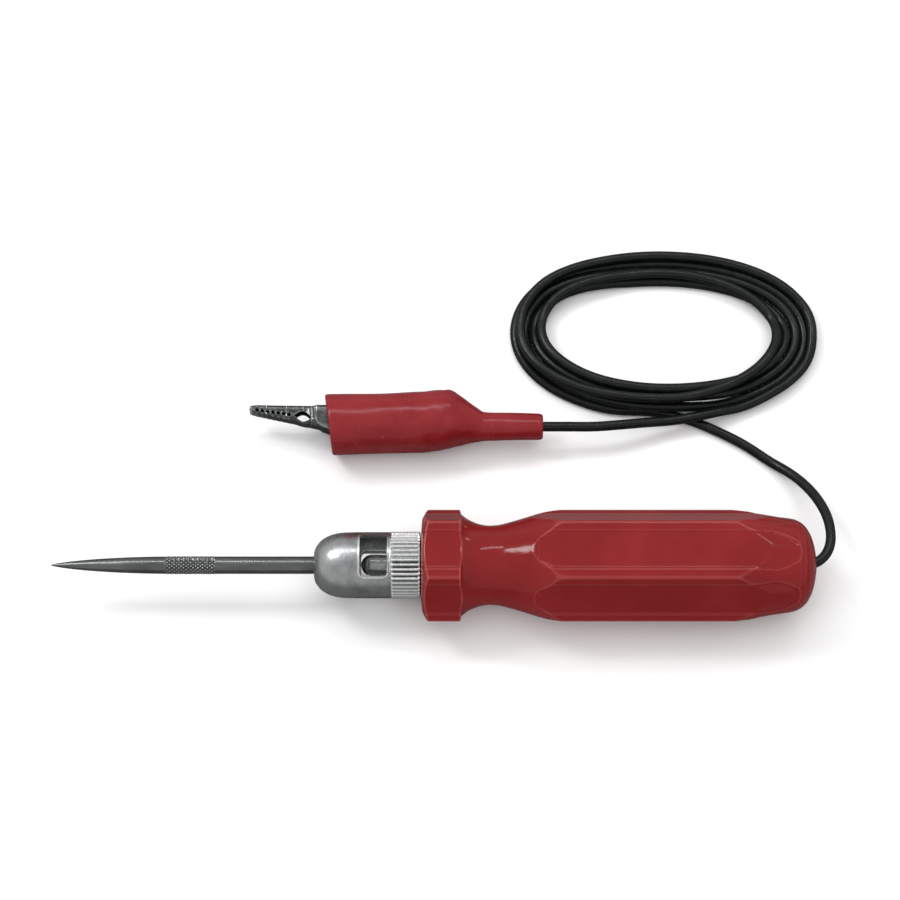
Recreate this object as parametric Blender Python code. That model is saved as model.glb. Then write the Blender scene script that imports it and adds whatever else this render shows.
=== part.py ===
"""Circuit test light: a pointed probe in a windowed metal nose, a lamp behind the window, a six-sided
handle, and one black lead that leaves the butt, lies in a hand-wound coil and ends in a booted clip.

Lengths are millimetres until the mesh helpers turn them into metres. The tester lies along X with its
point towards -X and rests on one flat of its handle. The clip lies on its side behind the nose.
"""

import math

import bmesh
import bpy
from mathutils import Matrix, Vector

MM = 0.001

# ---------------------------------------------------------------- driving dimensions
GAP = 0.3                       # clearance left between pieces that touch

HALF_LENGTH = 105.2             # the tester runs from -HALF_LENGTH to +HALF_LENGTH
FLAT_RADIUS = 14.05             # centre of the handle to a flat
AXIS_Z = FLAT_RADIUS            # height of the tester's axis above the surface it rests on
HANDLE_FRONT = -3.3
NECK_RADIUS = 10.86
NECK_X = 16.0                   # where the neck is thinnest
FILLET_RADIUS = 12.0            # hollow between the collar and the neck
COLLAR_BACK = 7.8
GRIP_FRONT = 36.0
GRIP_BACK = 81.0

NOSE_FRONT = -32.55
NOSE_BACK = HANDLE_FRONT - GAP
NOSE_RADIUS = 9.2
CHAMBER_RADIUS = 7.8
SHOULDER_X = -12.1              # front of the ring that the lamp's flange presses on
SHOULDER_THICK = 0.8
WINDOW_FRONT = -19.9
WINDOW_BACK = -12.4
WINDOW_WIDTH = 12.5
WINDOW_TILT = math.radians(-5)  # turns the upper window a little towards +Y, the lead's side

PROBE_RADIUS = 2.4
OGIVE_LENGTH = 34.0
KNURL_FRONT = -73.6
KNURL_BACK = -59.6
RIVET_X = -26.7

SOCKET_FRONT = -10.0
SOCKET_BACK = 14.0
SOCKET_RADIUS = 6.6
SOCKET_BORE = 3.95
SLEEVE_BACK = 16.3
SLEEVE_RADIUS = 3.65

LAMP_FRONT = -19.8
LAMP_RADIUS = 2.95
BASE_FRONT = -10.95
BASE_BACK = -2.0
BASE_RADIUS = 3.6

SPRING_RADIUS = 2.2
SPRING_WIRE = 0.3
SPRING_TURNS = 8

LEAD_RADIUS = 1.4
CONDUCTOR_RADIUS = 0.65
LEAD_BORE = 1.9
STOP_POCKET_BACK = 34.0
LEAD_MOUTH_X = 101.0            # where the free lead starts, inside the butt

CLIP_PIVOT = Vector((-26.9, 43.85, 8.7))
SHEET = 0.6
JAW_WIDTH = 3.6
EAR_WIDTH = 5.4
CLOSING_SLOPE = -0.147          # the line where the jaws meet, seen from above
JAW_LENGTH = 25.0
PIN_RADIUS = 1.15

COIL_CENTRE = (65.6, 73.8)
COIL_HALF_LENGTH = 37.9         # middle of the bundle
COIL_HALF_WIDTH = 20.2
COIL_HEIGHT = 7.8

# The lead's own routes: hand-chosen points along its centre.
HANDLE_LEAD_ROUTE = [
    (LEAD_MOUTH_X, 0.0, AXIS_Z), (103.6, 0.0, AXIS_Z), (106.3, 0.9, 13.9), (108.4, 3.0, 13.6),
    (109.8, 6.0, 12.9), (110.2, 10.2, 11.5), (109.5, 15.6, 9.0), (107.3, 21.5, 6.2),
    (104.2, 26.7, 3.8), (100.2, 31.2, 2.2), (95.1, 35.2, 1.5), (88.7, 39.9, 1.5),
    (82.0, 43.6, 1.5), (76.0, 46.4, 1.5), (74.3, 47.1, 1.5),
]
TAIL_AXIS = (42.9, 8.5)         # the lead runs straight along X through the boot's tail and past it
CLIP_LEAD_ROUTE = [
    (31.6, *TAIL_AXIS), (38.0, *TAIL_AXIS), (45.5, 42.9, 8.45), (52.9, 43.8, 7.0), (61.6, 45.3, 5.2),
    (68.0, 46.2, 4.65), (73.0, 47.1, 4.65), (76.0, 47.7, 4.75),
]
BOOT_LEAD_FRONT = 7.0

# The boot's outside: place along X, centre in Y and Z, radius.
BOOT_SECTIONS = [
    (-29.6, 43.4, 8.7, 8.65), (-15.0, 43.8, 8.7, 8.65), (-2.6, 44.2, 8.7, 8.65), (2.5, 44.6, 8.7, 8.5),
    (5.6, 45.0, 8.7, 8.15), (7.6, 44.7, 8.65, 7.4), (9.6, 44.0, 8.6, 6.25), (11.6, 43.4, 8.55, 5.1),
    (13.5, 43.0, 8.5, 4.25), (15.0, *TAIL_AXIS, 4.05), (30.2, *TAIL_AXIS, 3.72), (31.0, *TAIL_AXIS, 3.3),
]
BOOT_HOLLOW = [
    (-29.6, 43.4, 8.7, 7.45), (-2.6, 44.2, 8.7, 7.45), (2.5, 44.6, 8.7, 7.3), (5.6, 44.9, 8.7, 6.9),
    (8.5, 43.8, 8.6, 4.4), (10.5, *TAIL_AXIS, 1.75), (31.0, *TAIL_AXIS, 1.75),
]
BOOT_MOUTH_SLANT = 1.1


# ---------------------------------------------------------------- helpers
def clear_scene():
    for item in list(bpy.data.objects):
        bpy.data.objects.remove(item, do_unlink=True)


def material(name, colour, roughness, metallic=0.0, transmission=0.0):
    made = bpy.data.materials.new(name)
    made.use_nodes = True
    shader = made.node_tree.nodes["Principled BSDF"]
    shader.inputs["Base Color"].default_value = (*colour, 1.0)
    shader.inputs["Roughness"].default_value = roughness
    shader.inputs["Metallic"].default_value = metallic
    shader.inputs["Transmission Weight"].default_value = transmission
    made.diffuse_color = (*colour, 1.0)
    return made


def place(name, mesh_or_curve, finish):
    made = bpy.data.objects.new(name, mesh_or_curve)
    made.data.materials.append(finish)
    bpy.context.scene.collection.objects.link(made)
    return made


def solid(name, work, finish, smooth_below=40):
    """Turn a bmesh in millimetres into a named object in metres, faces pointing out."""
    bmesh.ops.recalc_face_normals(work, faces=work.faces)
    bmesh.ops.scale(work, vec=(MM, MM, MM), verts=work.verts)
    mesh = bpy.data.meshes.new(name)
    work.to_mesh(mesh)
    work.free()
    mesh.shade_smooth()
    mesh.set_sharp_from_angle(angle=math.radians(smooth_below))
    return place(name, mesh, finish)


def bridge_rings(work, rings, closed):
    """Join rings of vertices with quads; a ring of one vertex is a pole."""
    pairs = list(zip(rings, rings[1:]))
    if closed:
        pairs.append((rings[-1], rings[0]))
    for first, second in pairs:
        count = max(len(first), len(second))
        for step in range(count):
            after = (step + 1) % count
            corners = [first[step % len(first)], first[after % len(first)],
                       second[after % len(second)], second[step % len(second)]]
            distinct = list(dict.fromkeys(corners))
            work.faces.new(distinct)


def turned(name, outline, finish, segments=40, centre=(0.0, AXIS_Z)):
    """Revolve (x, radius) points about a line along X through the origin. A closed loop gives a tube."""
    work = bmesh.new()
    rings = []
    for along, radius in outline:
        if radius == 0:
            rings.append([work.verts.new((along, 0, 0))])
            continue
        ring = []
        for step in range(segments):
            angle = 2 * math.pi * step / segments
            ring.append(work.verts.new((along, radius * math.sin(angle), radius * math.cos(angle))))
        rings.append(ring)
    bridge_rings(work, rings, closed=outline[0][1] != 0)
    made = solid(name, work, finish)
    made.location = Vector((0.0, *centre)) * MM
    return made


def pin(name, outline, finish, centre, segments=24):
    """Revolve (height, radius) points about an upright line through centre."""
    work = bmesh.new()
    rings = []
    for height, radius in outline:
        if radius == 0:
            rings.append([work.verts.new((centre[0], centre[1], height))])
            continue
        rings.append([work.verts.new((centre[0] + radius * math.cos(2 * math.pi * step / segments),
                                      centre[1] + radius * math.sin(2 * math.pi * step / segments),
                                      height)) for step in range(segments)])
    bridge_rings(work, rings, closed=False)
    return solid(name, work, finish)


def plate(name, outline, low, high, finish):
    """Extrude a flat outline of (x, y) points from height low to height high."""
    work = bmesh.new()
    bottom = [work.verts.new((x, y, low)) for x, y in outline]
    top = [work.verts.new((x, y, high)) for x, y in outline]
    work.faces.new(bottom)
    work.faces.new(top)
    bridge_rings(work, [bottom, top], closed=False)
    return solid(name, work, finish, smooth_below=25)


def combine(target, other, operation):
    """Add a Boolean to target; the other object becomes a hidden guide."""
    step = target.modifiers.new(operation.lower(), "BOOLEAN")
    step.operation = operation
    step.solver = "EXACT"
    step.object = other
    other.hide_render = True
    other.display_type = "WIRE"


def smooth_curve(points, spacing):
    """Read points at an even spacing from a Catmull-Rom curve through the route's points."""
    knots = [Vector(point) for point in points]
    knots = [2 * knots[0] - knots[1], *knots, 2 * knots[-1] - knots[-2]]
    fine = []
    for before, start, end, after in zip(knots, knots[1:], knots[2:], knots[3:]):
        for step in range(20):
            t = step / 20
            fine.append(0.5 * (2 * start + (end - before) * t
                               + (2 * before - 5 * start + 4 * end - after) * t * t
                               + (3 * start - before - 3 * end + after) * t ** 3))
    fine.append(knots[-2])
    length = sum((b - a).length for a, b in zip(fine, fine[1:]))
    count = max(2, round(length / spacing))
    chosen = [fine[0]]
    travelled = 0.0
    for a, b in zip(fine, fine[1:]):
        travelled += (b - a).length
        if travelled >= length * len(chosen) / count - 1e-9 and len(chosen) < count:
            chosen.append(b)
    chosen.append(fine[-1])
    return chosen


def tube(name, points, radius, finish, resolution=2):
    """A round rod along points, with filled ends."""
    curve = bpy.data.curves.new(name, "CURVE")
    curve.dimensions = "3D"
    curve.bevel_depth = radius * MM
    curve.bevel_resolution = resolution
    curve.use_fill_caps = True
    spline = curve.splines.new("POLY")
    spline.points.add(len(points) - 1)
    for knot, point in zip(spline.points, points):
        knot.co = (*(Vector(point) * MM), 1.0)
    return place(name, curve, finish)


def arc(centre, radius, start, end, steps):
    """Points on a circle, angles in degrees."""
    points = []
    for step in range(steps + 1):
        angle = math.radians(start + (end - start) * step / steps)
        points.append((centre[0] + radius * math.cos(angle), centre[1] + radius * math.sin(angle)))
    return points


# ---------------------------------------------------------------- handle
def handle_outside():
    """Outline of the turned handle, front face to butt. The flats are cut afterwards."""
    over = FLAT_RADIUS / math.cos(math.pi / 6) + 0.4
    fillet = arc((NECK_X, NECK_RADIUS + FILLET_RADIUS), FILLET_RADIUS, 230, 270, 5)
    flare = [(21.0, 11.75), (24.0, 12.6), (28.0, 13.85), (32.0, 15.1), (GRIP_FRONT, over)]
    butt = [(GRIP_BACK, over), (85.0, 15.5), (89.5, 14.5), (97.7, 13.05)]
    dome = [(99.6, 12.6), (101.2, 11.8), (102.6, 10.5), (103.8, 8.4), (104.6, 6.0), (105.05, 3.6)]
    return [
        (HANDLE_FRONT, 7.6), (HANDLE_FRONT + 0.55, 13.2), (-1.25, 16.0), (-0.9, over), (COLLAR_BACK, over),
        (8.05, 15.0), *fillet, (18.5, 11.1), *flare, *butt, *dome, (HALF_LENGTH, 2.9),
    ]


def handle_bore():
    """Outline of the handle's bore, butt to front face."""
    return [
        (HALF_LENGTH - 0.3, 2.5), (103.0, LEAD_BORE), (STOP_POCKET_BACK, LEAD_BORE),
        (STOP_POCKET_BACK, 3.3), (SLEEVE_BACK + GAP, 3.3), (SLEEVE_BACK + GAP, SLEEVE_RADIUS + 0.35),
        (SOCKET_BACK + GAP, SLEEVE_RADIUS + 0.35), (SOCKET_BACK + GAP, SOCKET_RADIUS + GAP),
        (HANDLE_FRONT, SOCKET_RADIUS + GAP),
    ]


def make_handle(acetate):
    handle = turned("handle", handle_outside() + handle_bore(), acetate, segments=48)
    corner = FLAT_RADIUS / math.cos(math.pi / 6)
    work = bmesh.new()
    ends = []
    for along in (-20.0, 120.0):
        ends.append([work.verts.new((along, corner * math.cos(math.radians(60 * step)),
                                     AXIS_Z + corner * math.sin(math.radians(60 * step))))
                     for step in range(6)])
        work.faces.new(ends[-1])
    bridge_rings(work, ends, closed=False)
    combine(handle, solid("handle_flats_guide", work, acetate), "INTERSECT")


def make_socket(brass):
    turned("threaded_socket", [
        (SOCKET_FRONT, SOCKET_BORE), (SOCKET_FRONT, SOCKET_RADIUS - 0.5), (SOCKET_FRONT + 0.5, SOCKET_RADIUS),
        (SOCKET_BACK, SOCKET_RADIUS), (SOCKET_BACK, SOCKET_BORE),
    ], brass)


# ---------------------------------------------------------------- nose and probe
def make_nose(die_cast):
    wall_back = SHOULDER_X + SHOULDER_THICK
    thread_radius = SOCKET_RADIUS + GAP
    dome = [(NOSE_FRONT, 3.8), (-32.0, 5.1), (-30.98, 6.46), (-29.3, 7.7), (-27.7, 8.39), (-26.0, 8.8),
            (-24.4, 9.0)]
    nose = turned("nose_housing", [
        (NOSE_FRONT, PROBE_RADIUS + 0.25), *dome, (-17.8, 9.12), (-12.0, NOSE_RADIUS),
        (NOSE_BACK, NOSE_RADIUS), (NOSE_BACK, thread_radius), (wall_back, thread_radius),
        (wall_back, LAMP_RADIUS + 0.35), (SHOULDER_X, LAMP_RADIUS + 0.35), (SHOULDER_X, CHAMBER_RADIUS),
        (-23.5, CHAMBER_RADIUS), (-26.0, 6.6), (-27.0, 4.2), (-27.0, PROBE_RADIUS + 0.25),
    ], die_cast, segments=40)
    work = bmesh.new()
    bmesh.ops.create_cube(work, size=1.0)
    size = Vector((WINDOW_BACK - WINDOW_FRONT, WINDOW_WIDTH, 30.0))
    bmesh.ops.scale(work, vec=size, verts=work.verts)
    upright = [edge for edge in work.edges if abs((edge.verts[0].co - edge.verts[1].co).z) > 20]
    bmesh.ops.bevel(work, geom=upright, offset=0.9, segments=3, profile=0.5, affect="EDGES")
    guide = solid("window_guide", work, die_cast)
    guide.location = Vector(((WINDOW_FRONT + WINDOW_BACK) / 2, 0.0, AXIS_Z)) * MM
    guide.rotation_euler.x = WINDOW_TILT
    combine(nose, guide, "DIFFERENCE")


def make_probe(steel):
    """Ogive point, knurled band, plain rod and the head peened over inside the nose."""
    ogive = []
    for step in range(1, 10):
        part = (step / 9) ** 1.4
        ogive.append((OGIVE_LENGTH * part - HALF_LENGTH, PROBE_RADIUS * (1 - (1 - part) ** 2) ** 0.7))
    turned("probe", [
        (-HALF_LENGTH, 0), *ogive, (KNURL_FRONT - 0.3, PROBE_RADIUS), (KNURL_FRONT, PROBE_RADIUS + 0.08),
        (KNURL_BACK, PROBE_RADIUS + 0.08), (KNURL_BACK + 0.3, PROBE_RADIUS), (RIVET_X, PROBE_RADIUS),
        (RIVET_X, 3.4), (RIVET_X + 0.5, 3.2), (RIVET_X + 0.9, 2.0), (RIVET_X + 1.0, 0),
    ], steel, segments=24)


# ---------------------------------------------------------------- lamp
def make_lamp(glass, tungsten, brass, black, solder):
    wall = 0.5
    dome_out = [(LAMP_FRONT + LAMP_RADIUS * (1 - math.cos(a)), LAMP_RADIUS * math.sin(a))
                for a in (math.radians(18 * step) for step in range(1, 6))]
    inner = LAMP_RADIUS - wall
    dome_in = [(LAMP_FRONT + wall + inner * (1 - math.cos(a)), inner * math.sin(a))
               for a in (math.radians(18 * step) for step in range(5, 0, -1))]
    glass_back = BASE_FRONT + 3.4
    turned("lamp_glass", [(LAMP_FRONT, 0), *dome_out, (glass_back, LAMP_RADIUS), (glass_back, inner),
                          *dome_in, (LAMP_FRONT + wall, 0)], glass, segments=24)
    turned("lamp_base", [
        (BASE_FRONT, LAMP_RADIUS + GAP), (BASE_FRONT, 4.3), (BASE_FRONT + 0.6, 4.3),
        (BASE_FRONT + 0.7, BASE_RADIUS), (BASE_BACK, BASE_RADIUS), (BASE_BACK, LAMP_RADIUS + GAP),
    ], brass, segments=24)
    disc_front = BASE_BACK + GAP
    turned("lamp_insulator", [(disc_front, 0), (disc_front, 3.5), (disc_front + 1.0, 3.5),
                              (disc_front + 1.0, 0)], black, segments=24)
    tip = disc_front + 1.0 + GAP
    turned("lamp_contact", [(tip, 0), (tip, 1.4), (tip + 0.6, 1.4), (tip + 1.0, 0.8), (tip + 1.1, 0)],
           solder, segments=24)
    wire_back = glass_back - 0.4
    legs = [(wire_back, -0.9, AXIS_Z), (-13.5, -1.0, AXIS_Z), (-16.0, -1.4, AXIS_Z), (-16.9, -0.8, AXIS_Z),
            (-17.2, 0.0, AXIS_Z), (-16.9, 0.8, AXIS_Z), (-16.0, 1.4, AXIS_Z), (-13.5, 1.0, AXIS_Z),
            (wire_back, 0.9, AXIS_Z)]
    tube("lamp_filament", smooth_curve(legs, 0.9), 0.15, tungsten, resolution=1)
    return tip + 1.1


def make_contact_stack(lamp_tip, spring_steel, fibre, brass):
    """The lamp's spring, its insulating sleeve and the lead's terminal. Returns the lead's front."""
    first = lamp_tip + GAP + SPRING_WIRE
    last = 13.3
    steps = SPRING_TURNS * 10
    helix = []
    for step in range(steps + 1):
        angle = 2 * math.pi * SPRING_TURNS * step / steps
        helix.append((first + (last - first) * step / steps, SPRING_RADIUS * math.cos(angle),
                      AXIS_Z + SPRING_RADIUS * math.sin(angle)))
    tube("contact_spring", helix, SPRING_WIRE, spring_steel, resolution=1)
    sleeve_front = lamp_tip + 0.2
    turned("insulating_sleeve", [
        (sleeve_front, SLEEVE_RADIUS - 0.5), (sleeve_front, SLEEVE_RADIUS), (SLEEVE_BACK, SLEEVE_RADIUS),
        (SLEEVE_BACK, 2.0), (SLEEVE_BACK - 0.8, 2.0), (SLEEVE_BACK - 0.8, SLEEVE_RADIUS - 0.5),
    ], fibre, segments=24)
    disc = last + SPRING_WIRE + GAP
    turned("spring_terminal", [
        (disc, 0), (disc, 2.85), (disc + 1.2, 2.85), (disc + 1.2, 1.6), (disc + 4.6, 1.6),
        (disc + 4.6, 0.95), (disc + 2.0, 0.95), (disc + 2.0, 0),
    ], brass, segments=24)
    return disc + 2.0 + GAP


def make_inner_lead(conductor_front, vinyl, copper, crimp):
    lead_front = 20.5
    conductor_back = lead_front - GAP
    turned("lead_conductor", [(conductor_front, 0), (conductor_front, CONDUCTOR_RADIUS),
                              (conductor_back, CONDUCTOR_RADIUS), (conductor_back, 0)], copper, segments=12)
    lead_back = LEAD_MOUTH_X - GAP
    turned("lead_in_handle", [(lead_front, 0), (lead_front, LEAD_RADIUS), (lead_back, LEAD_RADIUS),
                              (lead_back, 0)], vinyl, segments=16)
    turned("lead_stop", [(26.0, LEAD_RADIUS + GAP), (26.0, 2.6), (26.6, 2.9), (31.4, 2.9), (32.0, 2.6),
                         (32.0, LEAD_RADIUS + GAP)], crimp, segments=24)


# ---------------------------------------------------------------- free lead and coil
def bundle_width(angle):
    """Width of the hand-wound bundle: widest at +X, narrowest at the near side."""
    return 10.2 + 1.8 * math.cos(angle) + 0.4 * math.sin(angle)


def make_coil(vinyl):
    """The outer shape of the coiled lead: an oval ring with rounded edges."""
    work = bmesh.new()
    rings = []
    steps = 48
    for step in range(steps):
        angle = 2 * math.pi * step / steps
        normal = Vector((COIL_HALF_WIDTH * math.cos(angle), COIL_HALF_LENGTH * math.sin(angle), 0))
        outward = normal.normalized()
        middle = Vector((COIL_CENTRE[0] + COIL_HALF_LENGTH * math.cos(angle),
                         COIL_CENTRE[1] + COIL_HALF_WIDTH * math.sin(angle), 0))
        half = bundle_width(angle) / 2
        edge = 1.3
        section = [(-half, edge), (-half, COIL_HEIGHT - 2 * edge), (-half + 2 * edge, COIL_HEIGHT),
                   (half - 2 * edge, COIL_HEIGHT), (half, COIL_HEIGHT - 2 * edge), (half, edge),
                   (half - edge, 0.1), (-half + edge, 0.1)]
        rings.append([work.verts.new(middle + outward * side + Vector((0, 0, up))) for side, up in section])
    bridge_rings(work, rings, closed=True)
    solid("lead_coil", work, vinyl)


def make_free_lead(vinyl):
    spacing = 2.4 * 2 * LEAD_RADIUS
    tube("lead_to_coil", smooth_curve(HANDLE_LEAD_ROUTE, spacing / 2), LEAD_RADIUS, vinyl)
    tube("lead_to_clip", smooth_curve(CLIP_LEAD_ROUTE, spacing), LEAD_RADIUS, vinyl)
    turned("lead_in_boot", [(BOOT_LEAD_FRONT, 0), (BOOT_LEAD_FRONT, LEAD_RADIUS), (31.3, LEAD_RADIUS),
                            (31.3, 0)], vinyl, segments=16, centre=TAIL_AXIS)


# ---------------------------------------------------------------- clip
def closing_edge(side, back):
    """The toothed line where the jaws meet, tip to back. side is +1 on the upper jaw, -1 on the lower."""
    def meet(along):
        return (along, CLOSING_SLOPE * along + side * 0.08)

    points = [meet(-JAW_LENGTH)]
    for tooth in range(7):
        start = -JAW_LENGTH + 1.6 + 1.5 * tooth
        points.append(meet(start))
        points.append((start + 0.75, meet(start + 0.75)[1] + side * 0.45))
    points.append(meet(-12.4))
    for step in range(1, 8):
        along = -12.2 + 4.8 * step / 8
        points.append((along, meet(along)[1] + side * 1.5 * math.sin(math.pi * step / 8)))
    points.append(meet(-7.4))
    points.append(meet(back))
    return points


def about_pivot(outline):
    return [(CLIP_PIVOT.x + x, CLIP_PIVOT.y + y) for x, y in outline]


def channel(name, spine, edge, width, pocket_spine, pocket_reach, finish):
    """A pressed channel: a solid between spine and edge, hollowed to sheet thickness from the edge side."""
    low = CLIP_PIVOT.z - width / 2
    high = CLIP_PIVOT.z + width / 2
    body = plate(name, about_pivot(spine + edge[::-1]), low, high, finish)
    pocket = [*pocket_spine, (pocket_spine[-1][0], pocket_reach), (pocket_spine[0][0], pocket_reach)]
    hollow = plate(name + "_pocket_guide", about_pivot(pocket), low + SHEET, high - SHEET, finish)
    combine(body, hollow, "DIFFERENCE")
    return body


def drill_pivot(jaw, name, finish):
    span = EAR_WIDTH
    outline = [(CLIP_PIVOT.z - span, 0), (CLIP_PIVOT.z - span, PIN_RADIUS + 0.15),
               (CLIP_PIVOT.z + span, PIN_RADIUS + 0.15), (CLIP_PIVOT.z + span, 0)]
    combine(jaw, pin(name + "_bore_guide", outline, finish, CLIP_PIVOT), "DIFFERENCE")


def make_upper_jaw(steel):
    """The jaw that moves: a narrow toothed front, and a wider back that straddles the other jaw."""
    front = channel(
        "clip_upper_jaw", [(-JAW_LENGTH, 5.1), (-6.5, 4.85)], closing_edge(1, -6.5), JAW_WIDTH,
        [(-JAW_LENGTH + 1.2, 4.45), (-7.5, 4.25)], -2.0, steel)
    back = channel(
        "upper_lever_guide", [(-7.0, 4.86), (0.0, 4.85), (24.0, 6.2), (26.0, 6.5)],
        [(-7.0, 1.25), (-6.4, 1.2), (-6.2, 0.2), (-5.7, -0.9), (-3.2, -2.2), (0.0, -2.9), (2.6, -1.9),
         (5.0, 1.2), (26.0, 4.6)],
        EAR_WIDTH, [(-6.4, 4.25), (0.0, 4.25), (24.0, 5.6), (27.0, 6.0)], -6.0, steel)
    combine(front, back, "UNION")
    drill_pivot(front, "upper_jaw", steel)
    front.data.transform(Matrix.Translation(-CLIP_PIVOT * MM))
    front.location = CLIP_PIVOT * MM


def make_lower_jaw(steel):
    """The jaw fixed to the lead, with a barrel crimped on the conductor at its tail."""
    spine = [(-JAW_LENGTH, 2.9), (-3.4, -2.15), (0.0, -3.2), (5.0, -4.3), (23.0, -4.3), (27.0, -3.4),
             (30.0, -2.9)]
    edge = [*closing_edge(-1, -6.5), (-2.6, 2.3), (0.0, 2.8), (2.6, 2.0), (7.0, -2.2), (12.0, -3.2),
            (23.0, -3.2), (27.0, -2.4), (30.0, -2.15)]
    pocket = [(-JAW_LENGTH + 1.2, 3.25), (-3.4, -1.5), (0.0, -2.6), (5.0, -3.7), (23.0, -3.7), (26.0, -3.1)]
    jaw = channel("clip_lower_jaw", spine, edge, JAW_WIDTH, pocket, 9.0, steel)
    barrel_front = CLIP_PIVOT.x + 27.5
    barrel = turned("crimp_barrel_guide", [
        (barrel_front, CONDUCTOR_RADIUS + GAP), (barrel_front, 1.95), (barrel_front + 6.0, 1.95),
        (barrel_front + 6.0, CONDUCTOR_RADIUS + GAP)], steel, segments=20, centre=TAIL_AXIS)
    combine(jaw, barrel, "UNION")
    drill_pivot(jaw, "lower_jaw", steel)


def make_clip_fixings(steel, spring_steel, copper):
    half = EAR_WIDTH / 2 + 0.15
    pin("clip_pivot_pin", [
        (CLIP_PIVOT.z - half - 0.7, 0), (CLIP_PIVOT.z - half - 0.7, 1.5), (CLIP_PIVOT.z - half - 0.2, 2.0),
        (CLIP_PIVOT.z - half, 2.0), (CLIP_PIVOT.z - half, PIN_RADIUS), (CLIP_PIVOT.z + half, PIN_RADIUS),
        (CLIP_PIVOT.z + half, 2.0), (CLIP_PIVOT.z + half + 0.2, 2.0), (CLIP_PIVOT.z + half + 0.7, 1.5),
        (CLIP_PIVOT.z + half + 0.7, 0),
    ], steel, CLIP_PIVOT)
    turns = 2.5
    radius = 1.85
    steps = 30
    path = [(11.0, -3.0, -0.72)]
    for step in range(steps + 1):
        angle = -math.pi / 2 - 0.2 - 2 * math.pi * turns * step / steps
        path.append((radius * math.cos(angle), radius * math.sin(angle), -0.72 + 1.44 * step / steps))
    path.append((13.0, 4.5, 0.72))
    tube("clip_spring", [CLIP_PIVOT + Vector(point) for point in path], 0.28, spring_steel, resolution=1)
    front = CLIP_PIVOT.x + 27.2
    back = BOOT_LEAD_FRONT - GAP
    turned("clip_conductor", [(front, 0), (front, CONDUCTOR_RADIUS), (back, CONDUCTOR_RADIUS), (back, 0)],
           copper, segments=12, centre=TAIL_AXIS)


def make_boot(vinyl):
    """The soft boot: a wide body over the clip, a shoulder, and a narrow tail on the lead."""
    work = bmesh.new()
    segments = 28
    rings = []
    for index, (along, middle_y, middle_z, radius) in enumerate(BOOT_SECTIONS + BOOT_HOLLOW[::-1]):
        at_mouth = index in (0, len(BOOT_SECTIONS) + len(BOOT_HOLLOW) - 1)
        ring = []
        for step in range(segments):
            angle = 2 * math.pi * step / segments
            slant = BOOT_MOUTH_SLANT * math.cos(angle) if at_mouth else 0.0
            ring.append(work.verts.new((along - slant, middle_y + radius * math.cos(angle),
                                        middle_z + radius * math.sin(angle))))
        rings.append(ring)
    bridge_rings(work, rings, closed=True)
    solid("clip_boot", work, vinyl)


# ---------------------------------------------------------------- the whole tester
def build():
    clear_scene()
    acetate = material("red_acetate", (0.33, 0.03, 0.035), 0.12, transmission=0.2)
    die_cast = material("satin_die_casting", (0.62, 0.63, 0.65), 0.32, 0.9)
    dark_steel = material("dark_probe_steel", (0.23, 0.24, 0.25), 0.3, 0.9)
    bright_steel = material("plated_clip_steel", (0.6, 0.61, 0.62), 0.2, 1.0)
    spring_steel = material("spring_steel", (0.45, 0.46, 0.48), 0.3, 1.0)
    brass = material("brass", (0.7, 0.53, 0.24), 0.3, 1.0)
    solder = material("solder", (0.6, 0.6, 0.6), 0.4, 0.9)
    copper = material("copper_strands", (0.75, 0.4, 0.25), 0.35, 1.0)
    tungsten = material("tungsten", (0.35, 0.35, 0.37), 0.4, 1.0)
    glass = material("lamp_glass", (0.9, 0.93, 0.93), 0.05, transmission=0.9)
    black_disc = material("black_insulator", (0.02, 0.02, 0.02), 0.5)
    fibre = material("grey_fibre", (0.3, 0.29, 0.27), 0.7)
    black_vinyl = material("black_lead_vinyl", (0.018, 0.022, 0.022), 0.38)
    red_vinyl = material("red_boot_vinyl", (0.36, 0.03, 0.04), 0.33)

    make_handle(acetate)
    make_socket(brass)
    make_nose(die_cast)
    make_probe(dark_steel)
    lamp_tip = make_lamp(glass, tungsten, brass, black_disc, solder)
    conductor_front = make_contact_stack(lamp_tip, spring_steel, fibre, brass)
    make_inner_lead(conductor_front, black_vinyl, copper, brass)
    make_coil(black_vinyl)
    make_free_lead(black_vinyl)
    make_upper_jaw(bright_steel)
    make_lower_jaw(bright_steel)
    make_clip_fixings(bright_steel, spring_steel, copper)
    make_boot(red_vinyl)


build()
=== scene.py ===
"""Looks of the circuit test light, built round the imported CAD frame.

Shapes are made in millimetres and turned into metres when a piece becomes an object. The tester lies
along X with its point towards -X, its axis AXIS_Z above the floor. The clip lies on its side behind the
nose, and one black lead joins the two through a hand-wound coil.
"""

import math

import bmesh
import bpy
import numpy as np
from mathutils import Matrix, Vector


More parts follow.
